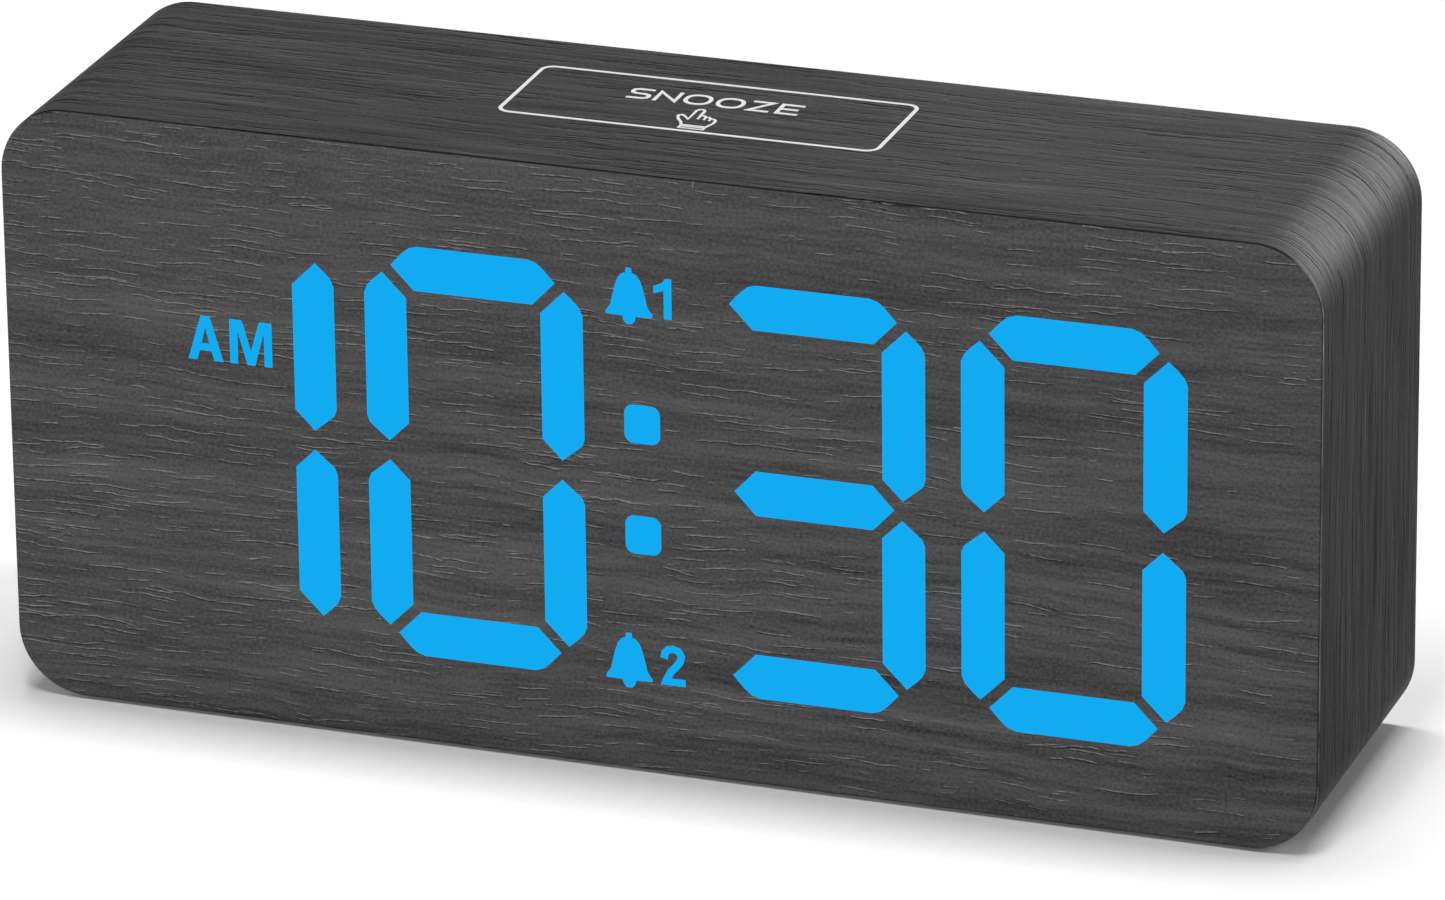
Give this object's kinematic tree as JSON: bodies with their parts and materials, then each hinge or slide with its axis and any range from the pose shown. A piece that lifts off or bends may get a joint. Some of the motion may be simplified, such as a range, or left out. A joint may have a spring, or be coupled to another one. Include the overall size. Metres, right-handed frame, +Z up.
{
  "type": "digital alarm clock",
  "caption": "Digital alarm clock in a rounded box case with wood-grain film, lit segment display, touch strip on top, rear keys, power port and hinged battery door",
  "frame": {"origin": "middle of the footprint, on the surface that the feet stand on", "axes": "+X to the right seen from the front (the display side faces -Y), +Y to the rear, +Z up"},
  "size_m": [0.15, 0.038, 0.0693],
  "materials": {
    "fibreboard": "raw machined fibreboard, fine and even",
    "film_wrap": "charcoal wood-grain film, embossed pores, satin",
    "film_front": "charcoal wood-grain film, horizontal grain, satin",
    "smoked_acrylic": "smoked acrylic sheet, smooth",
    "lit_blue": "lit segment seen through the film, even light blue",
    "white_ink": "white printed ink",
    "diffuser": "translucent white film",
    "mask_black": "black moulded plastic",
    "board_green": "green solder mask on glass laminate",
    "led": "small white LED packages with yellow lenses",
    "chip": "black epoxy with tinned legs",
    "screw_steel": "zinc-plated steel",
    "header": "ivory nylon",
    "ribbon": "grey flat cable, one red edge",
    "crystal": "drawn metal can",
    "capacitor": "dark blue sleeve, bare aluminium top",
    "buzzer": "black moulded plastic",
    "switch": "black plastic with a metal plate",
    "jack": "black moulded plastic",
    "contact": "nickel-plated contacts",
    "copper": "thin copper foil",
    "wire_white": "thin white insulated wire",
    "wire_red": "red insulated wire",
    "wire_black": "black insulated wire",
    "cover": "black moulded plastic, fine spark-eroded texture",
    "cover_ink": "light grey printed ink",
    "cover_screw": "plated steel",
    "bay_plastic": "black moulded plastic",
    "foot_rubber": "black rubber pad",
    "key_plastic": "dark grey moulded plastic, slightly shiny",
    "plunger": "ivory plastic"
  },
  "bodies": {
    "case": {"case_sleeve": "fibreboard", "wrap_film": "film_wrap", "front_film": "film_front", "front_panel": "smoked_acrylic", "lit_digits": "lit_blue", "lit_colon": "lit_blue", "lit_indicators": "lit_blue", "snooze_print": "white_ink", "diffuser_sheet": "diffuser", "light_mask": "mask_black", "display_board": "board_green", "segment_leds": "led", "led_driver_chip": "chip", "mask_screws": "screw_steel", "display_header": "header", "ribbon_cable": "ribbon", "main_header": "header", "main_board": "board_green", "main_board_screws": "screw_steel", "microcontroller": "chip", "clock_crystal": "crystal", "filter_capacitor": "capacitor", "buzzer": "buzzer", "switch_bodies": "switch", "power_jack": "jack", "power_jack_pin": "contact", "touch_foil": "copper", "touch_wire": "wire_white", "corner_blocks": "fibreboard", "rear_cover": "cover", "rear_cover_screws": "cover_screw", "control_marks": "cover_ink", "battery_tray": "bay_plastic", "battery_springs": "contact", "battery_plates": "contact", "battery_lead_red": "wire_red", "battery_lead_black": "wire_black", "rubber_feet": "foot_rubber"},
    "button_set": {"key_set": "key_plastic", "plunger_set": "plunger"},
    "button_up": {"key_up": "key_plastic", "plunger_up": "plunger"},
    "button_down": {"key_down": "key_plastic", "plunger_down": "plunger"},
    "button_alarm_1": {"key_alarm_1": "key_plastic", "plunger_alarm_1": "plunger"},
    "button_alarm_2": {"key_alarm_2": "key_plastic", "plunger_alarm_2": "plunger"},
    "door": {"battery_door": "cover"}
  },
  "joints": [
    {"name": "press_set", "type": "slide", "parent": "case", "child": "button_set", "axis": [0, -1, 0], "range_m": [0, 0.0004], "stiffness_N_per_m": 2000},
    {"name": "press_up", "type": "slide", "parent": "case", "child": "button_up", "axis": [0, -1, 0], "range_m": [0, 0.0004], "stiffness_N_per_m": 2000},
    {"name": "press_down", "type": "slide", "parent": "case", "child": "button_down", "axis": [0, -1, 0], "range_m": [0, 0.0004], "stiffness_N_per_m": 2000},
    {"name": "press_alarm_1", "type": "slide", "parent": "case", "child": "button_alarm_1", "axis": [0, -1, 0], "range_m": [0, 0.0004], "stiffness_N_per_m": 2000},
    {"name": "press_alarm_2", "type": "slide", "parent": "case", "child": "button_alarm_2", "axis": [0, -1, 0], "range_m": [0, 0.0004], "stiffness_N_per_m": 2000},
    {"name": "battery_door_hinge", "type": "hinge", "parent": "case", "child": "door", "pos_m": [-0.038, 0.0174, 0.0535], "axis": [1, 0, 0], "range_deg": [0, 75]}
  ]
}
